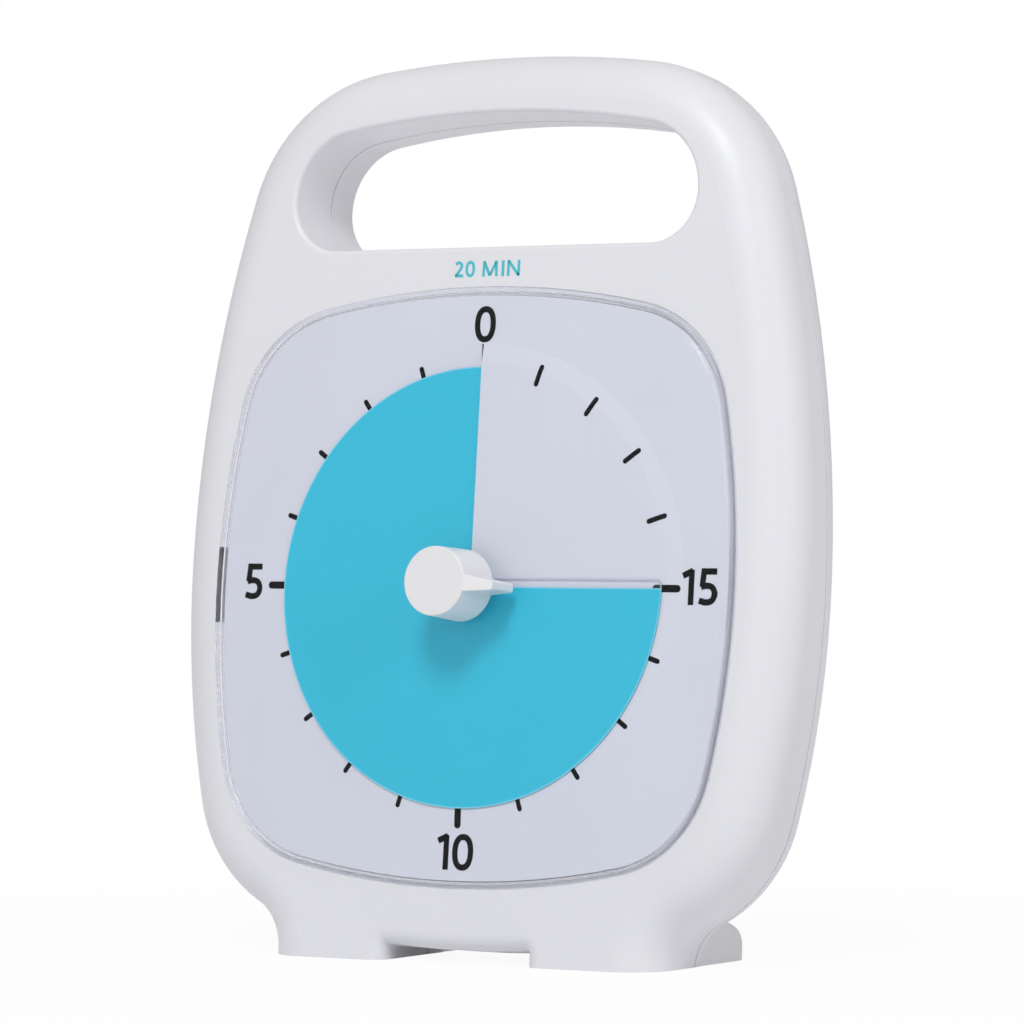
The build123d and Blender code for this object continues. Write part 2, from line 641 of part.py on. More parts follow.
def pointer_fin():
    """The fin: a blade as deep as the knob that narrows outwards, its front edge sloping back."""
    side = Polyline((0, KNOB_FRONT_Y), (KNOB_R - 0.3, KNOB_FRONT_Y), (POINTER_R - 0.2, POINTER_FRONT_Y),
                    (POINTER_R, KNOB_BACK_Y), (0, KNOB_BACK_Y), close=True)
    plan = Polyline((0, POINTER_ROOT_HALF), (KNOB_R, POINTER_ROOT_HALF), (POINTER_R, POINTER_END_HALF),
                    (POINTER_R, -POINTER_END_HALF), (KNOB_R, -POINTER_ROOT_HALF), (0, -POINTER_ROOT_HALF),
                    close=True)
    blade = extrude(make_face(side), amount=KNOB_R, both=True)
    blade &= flat(make_face(plan), KNOB_FRONT_Y, KNOB_BACK_Y)
    end = []
    for edge in blade.edges():
        box = edge.bounding_box()
        if box.min.X > POINTER_R - 0.3 and box.size.Y > 1:
            end.append(edge)
    return Rot(Y=POINTER_DROOP) * fillet(end, 0.5)


def gear(teeth, y0, y1, bore_r, phase=0.0):
    """A spur wheel with straight-flanked teeth, thinned for backlash."""
    pitch_r = TOOTH_MODULE * teeth / 2
    root_r = pitch_r - 1.25 * TOOTH_MODULE
    tip_r = pitch_r + 0.85 * TOOTH_MODULE
    wide, narrow = 0.30, 0.12      # half widths at root and tip, in tooth pitches
    pitch = 2 * math.pi / teeth
    points = []
    for i in range(teeth):
        middle = phase + i * pitch
        for reach, half in ((root_r, -wide), (tip_r, -narrow), (tip_r, narrow), (root_r, wide)):
            angle = middle + half * pitch - math.copysign(BACKLASH / 2 / pitch_r, half)
            points.append((reach * math.cos(angle), reach * math.sin(angle)))
    return flat(make_face(Polyline(*points, close=True)) - Circle(bore_r), y0, y1)


def train_places():
    """Centres of the third wheel and the rotor, from the arbor."""
    first = TOOTH_MODULE * (OUTPUT_TEETH + THIRD_PINION_TEETH) / 2 + MESH_SLACK
    second = TOOTH_MODULE * (THIRD_TEETH + ROTOR_PINION_TEETH) / 2 + MESH_SLACK
    bend = math.radians(TRAIN_BEND)
    third = (0.0, -first)
    return third, (third[0] + second * math.sin(bend), third[1] - second * math.cos(bend))


def output_wheel():
    """The slow wheel: it grips the arbor by friction and slips when the knob is turned by hand."""
    front, back = OUTPUT_WHEEL_Y
    toward_third = -math.pi / 2
    solid = gear(OUTPUT_TEETH, front, back, ARBOR_R + RUNNING, toward_third)
    count, hole_r, reach = SPOKE_HOLES
    for i in range(count):
        turn = 2 * math.pi * i / count
        solid -= rod(hole_r, front - 1, back + 1, reach * math.cos(turn), reach * math.sin(turn))
    collar_r, collar_back = OUTPUT_COLLAR
    return solid + rod(collar_r, back, collar_back) - rod(ARBOR_R + RUNNING, front - 1, collar_back + 1)


def third_wheel():
    """The middle wheel and its pinion, on a fixed post."""
    (x, z), _ = train_places()
    toward_output = math.pi / 2
    toward_rotor = math.radians(TRAIN_BEND - 90)
    pinion = gear(THIRD_PINION_TEETH, *THIRD_PINION_Y, SHAFT_R, toward_output + math.pi / THIRD_PINION_TEETH)
    wheel = gear(THIRD_TEETH, *THIRD_WHEEL_Y, SHAFT_R, toward_rotor)
    bore = rod(SHAFT_R + RUNNING, THIRD_PINION_Y[0] - 1, THIRD_WHEEL_Y[1] + 1)
    return Pos(x, 0, z) * (pinion + wheel - bore)


def rotor():
    """The motor's magnet with its pinion."""
    (third_x, third_z), (x, z) = train_places()
    toward_third = math.atan2(third_z - z, third_x - x)
    pinion = gear(ROTOR_PINION_TEETH, *ROTOR_PINION_Y, SHAFT_R, toward_third + math.pi / ROTOR_PINION_TEETH)
    magnet = rod(MAGNET_R, ROTOR_PINION_Y[1], MAGNET_BACK_Y)
    bore = rod(SHAFT_R + RUNNING, ROTOR_PINION_Y[0] - 1, MAGNET_BACK_Y + 1)
    return Pos(x, 0, z) * (pinion + magnet - bore)


def movement_outline():
    return RectangleRounded(2 * MOVEMENT_HALF, 2 * MOVEMENT_HALF, MOVEMENT_CORNER)


def movement_case_front():
    """The front half of the movement's case, with the arbor's bush and the wheels' posts."""
    inside = MOVEMENT_FRONT_Y + CASE_WALL
    root = MOVEMENT_FRONT_Y + CASE_WALL / 2
    solid = flat(movement_outline(), MOVEMENT_FRONT_Y, MOVEMENT_SPLIT_Y)
    solid -= flat(offset(movement_outline(), -CASE_WALL), inside, MOVEMENT_SPLIT_Y + 1)
    solid += rod(FRONT_BUSH[0], FRONT_BUSH[1], root) + rod(INNER_BUSH[0], root, INNER_BUSH[1])
    wheel_fronts = (THIRD_PINION_Y[0], ROTOR_PINION_Y[0])
    for (x, z), wheel_front in zip(train_places(), wheel_fronts):
        solid += rod(SHAFT_R, root, MOVEMENT_SPLIT_Y + 3, x, z)
        solid += rod(STANDOFF_R, root, wheel_front - 0.3, x, z)
    for x, z in movement_corners():
        solid += rod(CASE_POST_R, root, MOVEMENT_SPLIT_Y, x, z)
        solid -= rod(CASE_PILOT_R, inside, MOVEMENT_SPLIT_Y + 1, x, z)
    return solid - rod(ARBOR_R + RUNNING, 0, INNER_BUSH[1] + 1)


def movement_corners():
    """Places of the movement's four screws."""
    reach = MOVEMENT_HALF - MOVEMENT_SCREW_INSET
    return [(x * reach, z * reach) for x in (-1, 1) for z in (-1, 1)]


def movement_case_rear():
    """The rear half of the movement's case, with the arbor's rear bush."""
    inside = MOVEMENT_BACK_Y - CASE_WALL
    root = MOVEMENT_BACK_Y - CASE_WALL / 2
    bush_r, bush_length = REAR_BUSH
    solid = flat(movement_outline(), MOVEMENT_SPLIT_Y, MOVEMENT_BACK_Y)
    solid -= flat(offset(movement_outline(), -CASE_WALL), MOVEMENT_SPLIT_Y - 1, inside)
    solid += rod(bush_r, root - bush_length, root)
    for x, z in movement_corners():
        solid += rod(CASE_POST_R, MOVEMENT_SPLIT_Y, root, x, z)
        solid -= rod(CASE_HOLE_R, MOVEMENT_SPLIT_Y - 1, MOVEMENT_BACK_Y + 1, x, z)
    return solid - rod(ARBOR_R + RUNNING, root - bush_length - 1, inside + 0.1)


def screw(x, z, seat_y, tip_y, shank_r, head_r, head_h):
    """A pan-head screw along Y, its head behind the seat, with a cross cut in the head."""
    head = rod(head_r, seat_y, seat_y + head_h, x, z)
    head = fillet(front_edges(head, seat_y + head_h), head_h * 0.4)
    cut = head_r * 0.6
    for dx, dz in ((cut, CROSS_HALF), (CROSS_HALF, cut)):
        head -= block(x - dx, x + dx, seat_y + head_h * 0.4, seat_y + head_h + 1, z - dz, z + dz)
    return rod(shank_r, tip_y, seat_y + 0.1, x, z) + head


def screw_group(places, sizes):
    return Compound(children=[screw(x, z, **sizes) for x, z in places])


def case_screws():
    return screw_group(SCREW_PLACES, CASE_SCREW)


def movement_screws():
    return screw_group(movement_corners(), MOVEMENT_SCREW)


def volume_wheel():
    """A small notched wheel on the back, with a grip rib and a stem into its potentiometer."""
    face = BODY_DEPTH + VOLUME_PROUD
    disc = rod(VOLUME_R, BODY_DEPTH - 0.6, face)
    disc = fillet(front_edges(disc, face), 0.6)
    reach = VOLUME_R + 0.25
    for i in range(VOLUME_NOTCHES):
        turn = 2 * math.pi * i / VOLUME_NOTCHES
        x, z = reach * math.cos(turn), reach * math.sin(turn)
        disc -= rod(VOLUME_NOTCH_R, BODY_DEPTH - 1, face + 1, x, z)
    half_width, half_length, height = VOLUME_RIB
    disc += block(-half_width, half_width, face - 0.2, face + height, -half_length, half_length)
    disc += rod(VOLUME_STEM_R, BODY_DEPTH - VOLUME_STEM, BODY_DEPTH)
    return Pos(VOLUME_X, 0, SIDE_PARTS_Z) * disc


def volume_pot():
    """The potentiometer, its bushing round the wheel's stem."""
    bush_r, bush_back = POT_BUSH
    solid = block(-POT_HALF, POT_HALF, *POT_Y, -POT_HALF, POT_HALF) + rod(bush_r, POT_Y[1], bush_back)
    stem_end = BODY_DEPTH - VOLUME_STEM - 0.4
    return Pos(VOLUME_X, 0, SIDE_PARTS_Z) * (solid - rod(VOLUME_STEM_R + RUNNING, stem_end, bush_back + 1))


def buzzer():
    """The alarm's sounder, open towards the grille."""
    can = rod(BUZZER_R, BUZZER_FRONT_Y, BODY_DEPTH - WALL)
    can -= rod(BUZZER_R - BUZZER_WALL, BUZZER_FLOOR_Y, BODY_DEPTH)
    can += rod(BUZZER_POST_R, BUZZER_FLOOR_Y - 1, BUZZER_FLOOR_Y + 1)
    return Pos(BUZZER_X, 0, SIDE_PARTS_Z) * can


def circuit_board():
    """The control board, standing above the movement behind the dial."""
    board = block(*BOARD)
    radius, reach, z = BOARD_HOLES
    for x in (-reach, reach):
        board -= rod(radius, BOARD[2] - 1, BOARD[3] + 1, x, z)
    return board


def timer_chip():
    """The chip, with a row of legs along its upper and lower sides."""
    left, right, front, _, low, high = CHIP
    half, reach, height = CHIP_LEG
    solid = block(*CHIP)
    for i in range(CHIP_LEGS):
        x = left + (i + 0.5) * (right - left) / CHIP_LEGS
        solid += block(x - half, x + half, front, front + height, low - reach, high + reach)
    return solid


def quartz_crystal():
    """The crystal's can, standing on two legs."""
    x, y, z = CRYSTAL
    reach, half, low = CRYSTAL_LEG
    can = Pos(x, y, z) * Cylinder(CRYSTAL_R, CRYSTAL_LENGTH)
    for side in (-1, 1):
        leg = x + side * reach
        can += block(leg - half, leg + half, BOARD[3], y, low, z - CRYSTAL_LENGTH / 2 + 1)
    return can


def coil():
    """The motor's winding, with a cheek at each end."""
    winding = Cylinder(COIL_R, COIL_LENGTH)
    cheek_r, cheek = COIL_CHEEK
    for end in (-1, 1):
        winding += Pos(0, 0, end * (COIL_LENGTH + cheek) / 2) * Cylinder(cheek_r, cheek)
    return Pos(COIL_X, COIL_Y, COIL_Z) * (winding - Cylinder(COIL_BORE_R, 2 * COIL_LENGTH))


def stator():
    """The iron core: a bar through the coil and an arm round the rotor's magnet."""
    _, (rotor_x, rotor_z) = train_places()
    front, back = COIL_Y - STATOR_HALF, COIL_Y + STATOR_HALF
    left = COIL_X - 0.8
    core = block(left, COIL_X + 0.8, front, back, rotor_z, COIL_Z + COIL_LENGTH / 2 + 3)
    core += block(left, rotor_x + STATOR_ARM + 0.6, front, back, rotor_z - STATOR_ARM, rotor_z + STATOR_ARM)
    core -= rod(MAGNET_R + 0.5, front - 1, back + 1, rotor_x, rotor_z)
    return core - rod(ARBOR_R + 0.6, front - 1, back + 1)


def aa_battery():
    """One AA cell lying across the body, its positive cap to the right."""
    cap_r, cap = CELL_CAP
    cell = Cylinder(CELL_R, CELL_LENGTH - 2 * cap + 0.4)
    cell = fillet(cell.edges(), 0.5)
    cell += Pos(0, 0, CELL_LENGTH / 2) * Cylinder(cap_r, 2 * cap)
    return Pos(0, CELL_Y, CELL_Z) * Rot(Y=90) * cell


def contact_plate(x):
    """A flat contact against an end wall of the compartment, from x to the right."""
    return block(x, x + CONTACT_THICKNESS, *CONTACT_Y, CELL_Z - CONTACT_HALF, CELL_Z + CONTACT_HALF)


def battery_plate():
    """The contact at the positive end, with a pressed cone that meets the cap."""
    wall = DOOR_HALF_X - BOX_WALL
    cap_face = CELL_LENGTH / 2 + CELL_CAP[1]
    length = wall - CONTACT_THICKNESS / 2 - cap_face
    cone = Pos((cap_face + cap_face + length) / 2, CELL_Y, CELL_Z) * Rot(Y=90) * Cone(1.0, 2.2, length)
    return contact_plate(wall - CONTACT_THICKNESS) + cone


def battery_spring():
    """The coil spring at the negative end, on its contact plate."""
    wall = -DOOR_HALF_X + BOX_WALL
    cell_end = -(CELL_LENGTH - 2 * CELL_CAP[1] + 0.4) / 2
    start = wall + CONTACT_THICKNESS + SPRING_WIRE_R
    length = cell_end - SPRING_WIRE_R - start
    path = Helix(pitch=length / SPRING_TURNS, height=length, radius=SPRING_R)
    wire = sweep(Plane(origin=path @ 0, z_dir=path % 0) * Circle(SPRING_WIRE_R), path=path, is_frenet=True)
    wire = Pos(start, CELL_Y, CELL_Z) * Rot(Y=90) * wire
    low = CELL_Z - SPRING_R
    foot = block(wall, start + 0.2, CELL_Y - SPRING_R, CELL_Y + SPRING_R, low - 0.4, low + 0.4)
    return wire + contact_plate(wall) + foot


def battery_door():
    """The cover over the battery, with finger ribs."""
    face = BODY_DEPTH + DOOR_PROUD
    solid = flat(door_outline(), BODY_DEPTH - DOOR_THICKNESS, face)
    count, spacing, half = FINGER_RIBS
    for i in range(count):
        z = DOOR_HIGH_Z - 4.2 - i * spacing
        solid += block(-half, half, face - 0.1, face + 0.5, z - 0.4, z + 0.4)
    return solid


PIECES = {
    "front_housing": front_housing,
    "rear_housing": rear_housing,
    "clear_lens": clear_lens,
    "dial_plate": dial_plate,
    "dial_carrier": dial_carrier,
    "colour_film": colour_film,
    "film_lead_strip": film_lead_strip,
    "film_hub": film_hub,
    "output_arbor": output_arbor,
    "setting_knob": setting_knob,
    "output_wheel": output_wheel,
    "third_wheel": third_wheel,
    "rotor": rotor,
    "movement_case_front": movement_case_front,
    "movement_case_rear": movement_case_rear,
    "movement_screws": movement_screws,
    "circuit_board": circuit_board,
    "timer_chip": timer_chip,
    "quartz_crystal": quartz_crystal,
    "coil": coil,
    "stator": stator,
}

# drawn square to the back of the body, and leaned with it
LEANING_PIECES = {
    "volume_wheel": volume_wheel,
    "volume_pot": volume_pot,
    "buzzer": buzzer,
    "aa_battery": aa_battery,
    "battery_plate": battery_plate,
    "battery_spring": battery_spring,
    "battery_door": battery_door,
    "case_screws": case_screws,
}


def place(solid, shift):
    """From the face frame to the table, moved back or forth to stand over the origin."""
    return Pos(0, shift, DIAL_HEIGHT) * Rot(X=-BACK_LEAN) * solid


def main():
    os.makedirs("parts", exist_ok=True)
    solids = {name: make() for name, make in PIECES.items()}
    solids.update({name: lean(make()) for name, make in LEANING_PIECES.items()})
    boxes = [place(solid, 0).bounding_box() for solid in solids.values()]
    shift = -(min(b.min.Y for b in boxes) + max(b.max.Y for b in boxes)) / 2
    print("dial centre in the row frame:", (0, round(shift, 4), DIAL_HEIGHT))
    for name, solid in solids.items():
        export_step(place(solid, shift), f"parts/{name}.step")


main()
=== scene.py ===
import json
import math

import bmesh
import bpy
from mathutils import Matrix, Vector


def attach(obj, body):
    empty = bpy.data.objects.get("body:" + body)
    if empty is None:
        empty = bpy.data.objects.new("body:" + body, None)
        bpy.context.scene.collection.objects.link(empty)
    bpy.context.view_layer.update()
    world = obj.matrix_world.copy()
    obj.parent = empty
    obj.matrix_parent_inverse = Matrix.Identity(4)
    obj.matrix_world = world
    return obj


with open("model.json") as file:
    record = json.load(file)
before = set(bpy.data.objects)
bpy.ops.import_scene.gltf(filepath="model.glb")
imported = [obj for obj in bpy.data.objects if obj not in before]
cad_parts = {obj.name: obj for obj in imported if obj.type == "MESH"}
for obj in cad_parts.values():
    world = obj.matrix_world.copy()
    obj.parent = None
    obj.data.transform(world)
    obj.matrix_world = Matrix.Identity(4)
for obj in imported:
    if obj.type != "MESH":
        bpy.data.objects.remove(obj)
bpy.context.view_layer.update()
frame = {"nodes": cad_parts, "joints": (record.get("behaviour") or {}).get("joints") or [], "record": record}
print("stage: frame loaded")

mm = 0.001  # the printing is measured in millimetres

# where things are: the dial's centre, the way the face looks, and the face's own axes
knobJoint = next(joint for joint in frame["joints"] if joint["name"] == "knob_turn")
dialCentre = Vector(knobJoint["pos_m"])
faceBack = -Vector(knobJoint["axis"]).normalized()
faceRight = Vector((1, 0, 0))
faceUp = faceRight.cross(faceBack).normalized()
faceMatrix = Matrix([
    [*(axis[row] for axis in (faceRight, faceBack, faceUp)), dialCentre[row]] for row in range(3)
] + [[0, 0, 0, 1]])


# materials: every finish is drawn by nodes, with no pictures

def screenColor(red, green, blue):
    # a colour as it shows on a screen, 0 to 255, turned into Blender's linear numbers
    def linear(part):
        part /= 255
        return part / 12.92 if part <= 0.04045 else ((part + 0.055) / 1.055) ** 2.4
    return (linear(red), linear(green), linear(blue), 1.0)


def newMaterial(name):
    material = bpy.data.materials.new(name)
    material.use_nodes = True
    tree = material.node_tree
    shader = tree.nodes["Principled BSDF"]
    shader.location = (300, 0)
    tree.nodes["Material Output"].location = (620, 0)
    return material, tree, shader


def setInputs(node, values):
    for socket, value in values.items():
        node.inputs[socket].default_value = value


noiseLook = {
    "roughness": 0.55,
    # between these heights of the noise, the first colour turns to the second, and the low gloss to the high
    "colorFrom": 0.35,
    "colorTo": 0.65,
    "glossFrom": 0.3,
    "glossTo": 0.7,
}


def addNoise(tree, size, detail, place):
    # noise whose lumps are about size metres across
    where = tree.nodes.new("ShaderNodeTexCoord")
    where.location = (place[0] - 200, place[1])
    noise = tree.nodes.new("ShaderNodeTexNoise")
    noise.location = place
    setInputs(noise, {"Scale": 1.0 / size, "Detail": detail, "Roughness": noiseLook["roughness"]})
    tree.links.new(where.outputs["Object"], noise.inputs["Vector"])
    return noise


def noiseColor(tree, shader, size, first, second):
    # the base colour drifts between two close colours
    noise = addNoise(tree, size, 2.0, (-700, 250))
    ramp = tree.nodes.new("ShaderNodeValToRGB")
    ramp.location = (-400, 250)
    ramp.color_ramp.elements[0].position = noiseLook["colorFrom"]
    ramp.color_ramp.elements[1].position = noiseLook["colorTo"]
    ramp.color_ramp.elements[0].color = first
    ramp.color_ramp.elements[1].color = second
    tree.links.new(noise.outputs["Fac"], ramp.inputs["Fac"])
    tree.links.new(ramp.outputs["Color"], shader.inputs["Base Color"])


def noiseRoughness(tree, shader, size, low, high):
    noise = addNoise(tree, size, 4.0, (-700, -50))
    span = tree.nodes.new("ShaderNodeMapRange")
    span.location = (-400, -50)
    setInputs(span, {"From Min": noiseLook["glossFrom"], "From Max": noiseLook["glossTo"],
                     "To Min": low, "To Max": high})
    tree.links.new(noise.outputs["Fac"], span.inputs["Value"])
    tree.links.new(span.outputs["Result"], shader.inputs["Roughness"])


def noiseBump(tree, shader, size, depth):
    noise = addNoise(tree, size, 2.0, (-700, -350))
    bump = tree.nodes.new("ShaderNodeBump")
    bump.location = (-100, -350)
    setInputs(bump, {"Strength": 1.0, "Distance": depth})
    tree.links.new(noise.outputs["Fac"], bump.inputs["Height"])
    tree.links.new(bump.outputs["Normal"], shader.inputs["Normal"])


plastic = {
    "ior": 1.46,
    "lightReach": 0.002,  # how far light spreads under the surface, in metres
}


def plasticFinish(name, look):
    # moulded plastic: a slow drift of colour, uneven gloss and a very fine surface texture
    material, tree, shader = newMaterial(name)
    noiseColor(tree, shader, look["driftSize"], screenColor(*look["color"]), screenColor(*look["drift"]))
    noiseRoughness(tree, shader, look["glossSize"], *look["roughness"])
    noiseBump(tree, shader, look["grainSize"], look["grainDepth"])
    setInputs(shader, {"IOR": look.get("ior", plastic["ior"]), "Subsurface Scale": plastic["lightReach"],
                       "Subsurface Weight": look.get("depthOfLight", 0.0)})
    return material


metal = {
    "driftSize": 0.004,
    "glossSize": 0.0015,
    "grainSize": 0.0003,
    "grainDepth": 0.00001,
}


def metalFinish(name, look):
    # bright metal with fine grains of wear
    material, tree, shader = newMaterial(name)
    noiseColor(tree, shader, metal["driftSize"], screenColor(*look["color"]), screenColor(*look["drift"]))
    noiseRoughness(tree, shader, metal["glossSize"], *look["roughness"])
    noiseBump(tree, shader, metal["grainSize"], look.get("grainDepth", metal["grainDepth"]))
    setInputs(shader, {"Metallic": 1.0})
    return material


clearWalls = {
    # how squarely a spot faces the front: from the first value on it is fully clear, at the second fully frosted
    "clearFrom": 0.97,
    "frostedAt": 0.4,
}


def frostEdges(tree, shader, most):
    # walls and rounded edges are less clear than the flat front
    shape = tree.nodes.new("ShaderNodeNewGeometry")
    shape.location = (-900, -650)
    slope = tree.nodes.new("ShaderNodeVectorMath")
    slope.operation = "DOT_PRODUCT"
    slope.location = (-700, -650)
    slope.inputs[1].default_value = faceBack
    straight = tree.nodes.new("ShaderNodeMath")
    straight.operation = "ABSOLUTE"
    straight.location = (-500, -650)
    frost = tree.nodes.new("ShaderNodeMapRange")
    frost.location = (-300, -650)
    setInputs(frost, {"From Min": clearWalls["clearFrom"], "From Max": clearWalls["frostedAt"],
                      "To Min": 0.0, "To Max": most})
    both = tree.nodes.new("ShaderNodeMath")
    both.operation = "ADD"
    both.location = (-100, -500)
    tree.links.new(shape.outputs["Normal"], slope.inputs[0])
    tree.links.new(slope.outputs["Value"], straight.inputs[0])
    tree.links.new(straight.outputs["Value"], frost.inputs["Value"])
    tree.links.new(shader.inputs["Roughness"].links[0].from_socket, both.inputs[0])
    tree.links.new(frost.outputs["Result"], both.inputs[1])
    tree.links.new(both.outputs["Value"], shader.inputs["Roughness"])


def clearFinish(name, look):
    # clear plastic: lamps shine through it, and the eye sees its edges and its gloss
    material, tree, shader = newMaterial(name)
    setInputs(shader, {"Base Color": screenColor(*look["color"]), "Transmission Weight": 1.0,
                       "IOR": look["ior"]})
    noiseRoughness(tree, shader, look["glossSize"], *look["roughness"])
    if "edgeRoughness" in look:
        frostEdges(tree, shader, look["edgeRoughness"])
    openForLamps = tree.nodes.new("ShaderNodeBsdfTransparent")
    openForLamps.inputs["Color"].default_value = screenColor(*look["lampColor"])
    openForLamps.location = (300, -350)
    ray = tree.nodes.new("ShaderNodeLightPath")
    ray.location = (100, 300)
    surface = shader.outputs["BSDF"]
    for step, kind in enumerate(("Is Diffuse Ray", "Is Shadow Ray")):
        mix = tree.nodes.new("ShaderNodeMixShader")
        mix.location = (600 + 200 * step, 200)
        tree.links.new(ray.outputs[kind], mix.inputs["Fac"])
        tree.links.new(surface, mix.inputs[1])
        tree.links.new(openForLamps.outputs["BSDF"], mix.inputs[2])
        surface = mix.outputs["Shader"]
    output = tree.nodes["Material Output"]
    output.location = (1020, 200)
    tree.links.new(surface, output.inputs["Surface"])
    return material


finishes = {
    "white_housing": plasticFinish("whiteHousing", {
        "color": (230, 230, 234), "drift": (228, 228, 232), "driftSize": 0.05, "roughness": (0.36, 0.44),
        "glossSize": 0.004, "grainSize": 0.00035, "grainDepth": 0.000006, "depthOfLight": 0.08}),
    "clear_lens": clearFinish("clearLens", {
        "color": (252, 252, 254), "lampColor": (254, 254, 255), "ior": 1.18, "roughness": (0.0, 0.02),
        "glossSize": 0.02, "edgeRoughness": 0.4}),
    "dial_white": plasticFinish("dialWhite", {
        "color": (217, 220, 229), "drift": (215, 218, 227), "driftSize": 0.03, "roughness": (0.5, 0.6),
        "glossSize": 0.003, "grainSize": 0.0004, "grainDepth": 0.000002}),
    "inner_white": plasticFinish("innerWhite", {
        "color": (222, 222, 228), "drift": (216, 217, 224), "driftSize": 0.02, "roughness": (0.45, 0.55),
        "glossSize": 0.003, "grainSize": 0.0005, "grainDepth": 0.000006}),
    "blue_film": plasticFinish("blueFilm", {
        "color": (48, 193, 220), "drift": (46, 192, 219), "driftSize": 0.02, "roughness": (0.4, 0.5),
        "glossSize": 0.006, "grainSize": 0.002, "grainDepth": 0.000001}),
    "clear_film": clearFinish("clearFilm", {
        "color": (253, 253, 254), "lampColor": (254, 254, 255), "ior": 1.35, "roughness": (0.02, 0.08),
        "glossSize": 0.02}),
    "steel": metalFinish("brightSteel", {
        "color": (190, 190, 194), "drift": (178, 178, 182), "roughness": (0.25, 0.4)}),
    "knob_white": plasticFinish("knobWhite", {
        "color": (234, 232, 233), "drift": (232, 231, 232), "driftSize": 0.01, "roughness": (0.3, 0.32),
        "glossSize": 0.02, "grainSize": 0.001, "grainDepth": 0.000001}),
    "gear_plastic": plasticFinish("gearPlastic", {
        "color": (222, 216, 198), "drift": (214, 208, 190), "driftSize": 0.005, "roughness": (0.35, 0.5),
        "glossSize": 0.002, "grainSize": 0.0003, "grainDepth": 0.000006}),
    "black_plastic": plasticFinish("blackPlastic", {
        "color": (46, 46, 50), "drift": (38, 38, 42), "driftSize": 0.008, "roughness": (0.4, 0.55),
        "glossSize": 0.002, "grainSize": 0.0004, "grainDepth": 0.000012}),
    "brass": metalFinish("brass", {
        "color": (206, 174, 104), "drift": (190, 156, 90), "roughness": (0.25, 0.42)}),
    "board_green": plasticFinish("boardGreen", {
        "color": (22, 110, 62), "drift": (16, 96, 54), "driftSize": 0.004, "roughness": (0.3, 0.4),
        "glossSize": 0.002, "grainSize": 0.0006, "grainDepth": 0.00001}),
    "copper": metalFinish("copperWire", {
        "color": (190, 112, 66), "drift": (168, 92, 52), "roughness": (0.3, 0.42), "grainDepth": 0.00004}),
    "battery_wrap": plasticFinish("batteryWrap", {
        "color": (120, 124, 132), "drift": (112, 116, 124), "driftSize": 0.01, "roughness": (0.22, 0.3),
        "glossSize": 0.004, "grainSize": 0.001, "grainDepth": 0.000003}),
    "nickel": metalFinish("nickel", {
        "color": (214, 210, 200), "drift": (200, 196, 186), "roughness": (0.15, 0.28)}),
    "print_black": plasticFinish("printBlack", {
        "color": (6, 6, 8), "drift": (4, 4, 6), "driftSize": 0.003, "roughness": (0.5, 0.6),
        "glossSize": 0.002, "grainSize": 0.0003, "grainDepth": 0.000002, "ior": 1.2}),
    # painted shade: a violet-grey line along the clear strip's upper cut edge, standing in for the light bent at
    # that edge
    "strip_edge_painted_shade": plasticFinish("stripEdgePaintedShade", {
        "color": (188, 192, 210), "drift": (186, 190, 208), "driftSize": 0.003, "roughness": (0.4, 0.5),
        "glossSize": 0.002, "grainSize": 0.0003, "grainDepth": 0.000002}),
    # painted highlight: a lighter cyan line along the film's cut edge, standing in for the light that edge catches
    "film_edge_painted_highlight": plasticFinish("filmEdgePaintedHighlight", {
        "color": (128, 214, 236), "drift": (124, 212, 235), "driftSize": 0.003, "roughness": (0.4, 0.5),
        "glossSize": 0.002, "grainSize": 0.0003, "grainDepth": 0.000002}),
    "print_cyan": plasticFinish("printCyan", {
        "color": (84, 192, 206), "drift": (80, 188, 203), "driftSize": 0.003, "roughness": (0.4, 0.5),
        "glossSize": 0.002, "grainSize": 0.0003, "grainDepth": 0.000002}),
}

for row in frame["record"]["subparts"]:
    node = frame["nodes"][row["node"]]
    node.data.materials.clear()
    node.data.materials.append(finishes[row["material_slot"]])
print("stage: finishes on", len(frame["nodes"]), "pieces")


# printing, laid on the face as thin raised ink

dial = {
    "spiralRadius": 44.2,  # inside this the dial climbs round once, from one lip of its slit to the other
    "levelRadius": 47.8,
    "rise": 0.8,
    "sheet": 0.15,         # half the thickness of the climbing part
}
ink = {
    "thickness": 0.035,
    "sunk": 0.03,
    "sharpest": 0.35,  # how narrow a corner may get before its outer point is held back
    "capSteps": 6,
    "capTip": 0.01,
}


def dialHeight(x, z):
    # how far the dial's surface stands towards the viewer, in mm
    radius = math.hypot(x, z)
    turn = math.degrees(math.atan2(-x, z)) % 360
    climb = dial["rise"] * (turn - 180) / 360 + dial["sheet"]
    if radius <= dial["spiralRadius"]:
        return climb
    share = (radius - dial["spiralRadius"]) / (dial["levelRadius"] - dial["spiralRadius"])
    return climb * max(0.0, 1.0 - share)


def frontHeight(x, z):
    # the front shell is flat where it is printed
    return 0.0


def smoothPath(points, steps=8):
    # a curve through all the points
    ends = [points[0]] + list(points) + [points[-1]]
    path = []
    for i in range(1, len(ends) - 2):
        a, b, c, d = (Vector(p) for p in ends[i - 1:i + 3])
        for step in range(steps):
            t = step / steps
            path.append(0.5 * (2 * b + (c - a) * t + (2 * a - 5 * b + 4 * c - d) * t * t
                               + (3 * b - a - 3 * c + d) * t ** 3))
    path.append(Vector(points[-1]))
    return [tuple(p) for p in path]


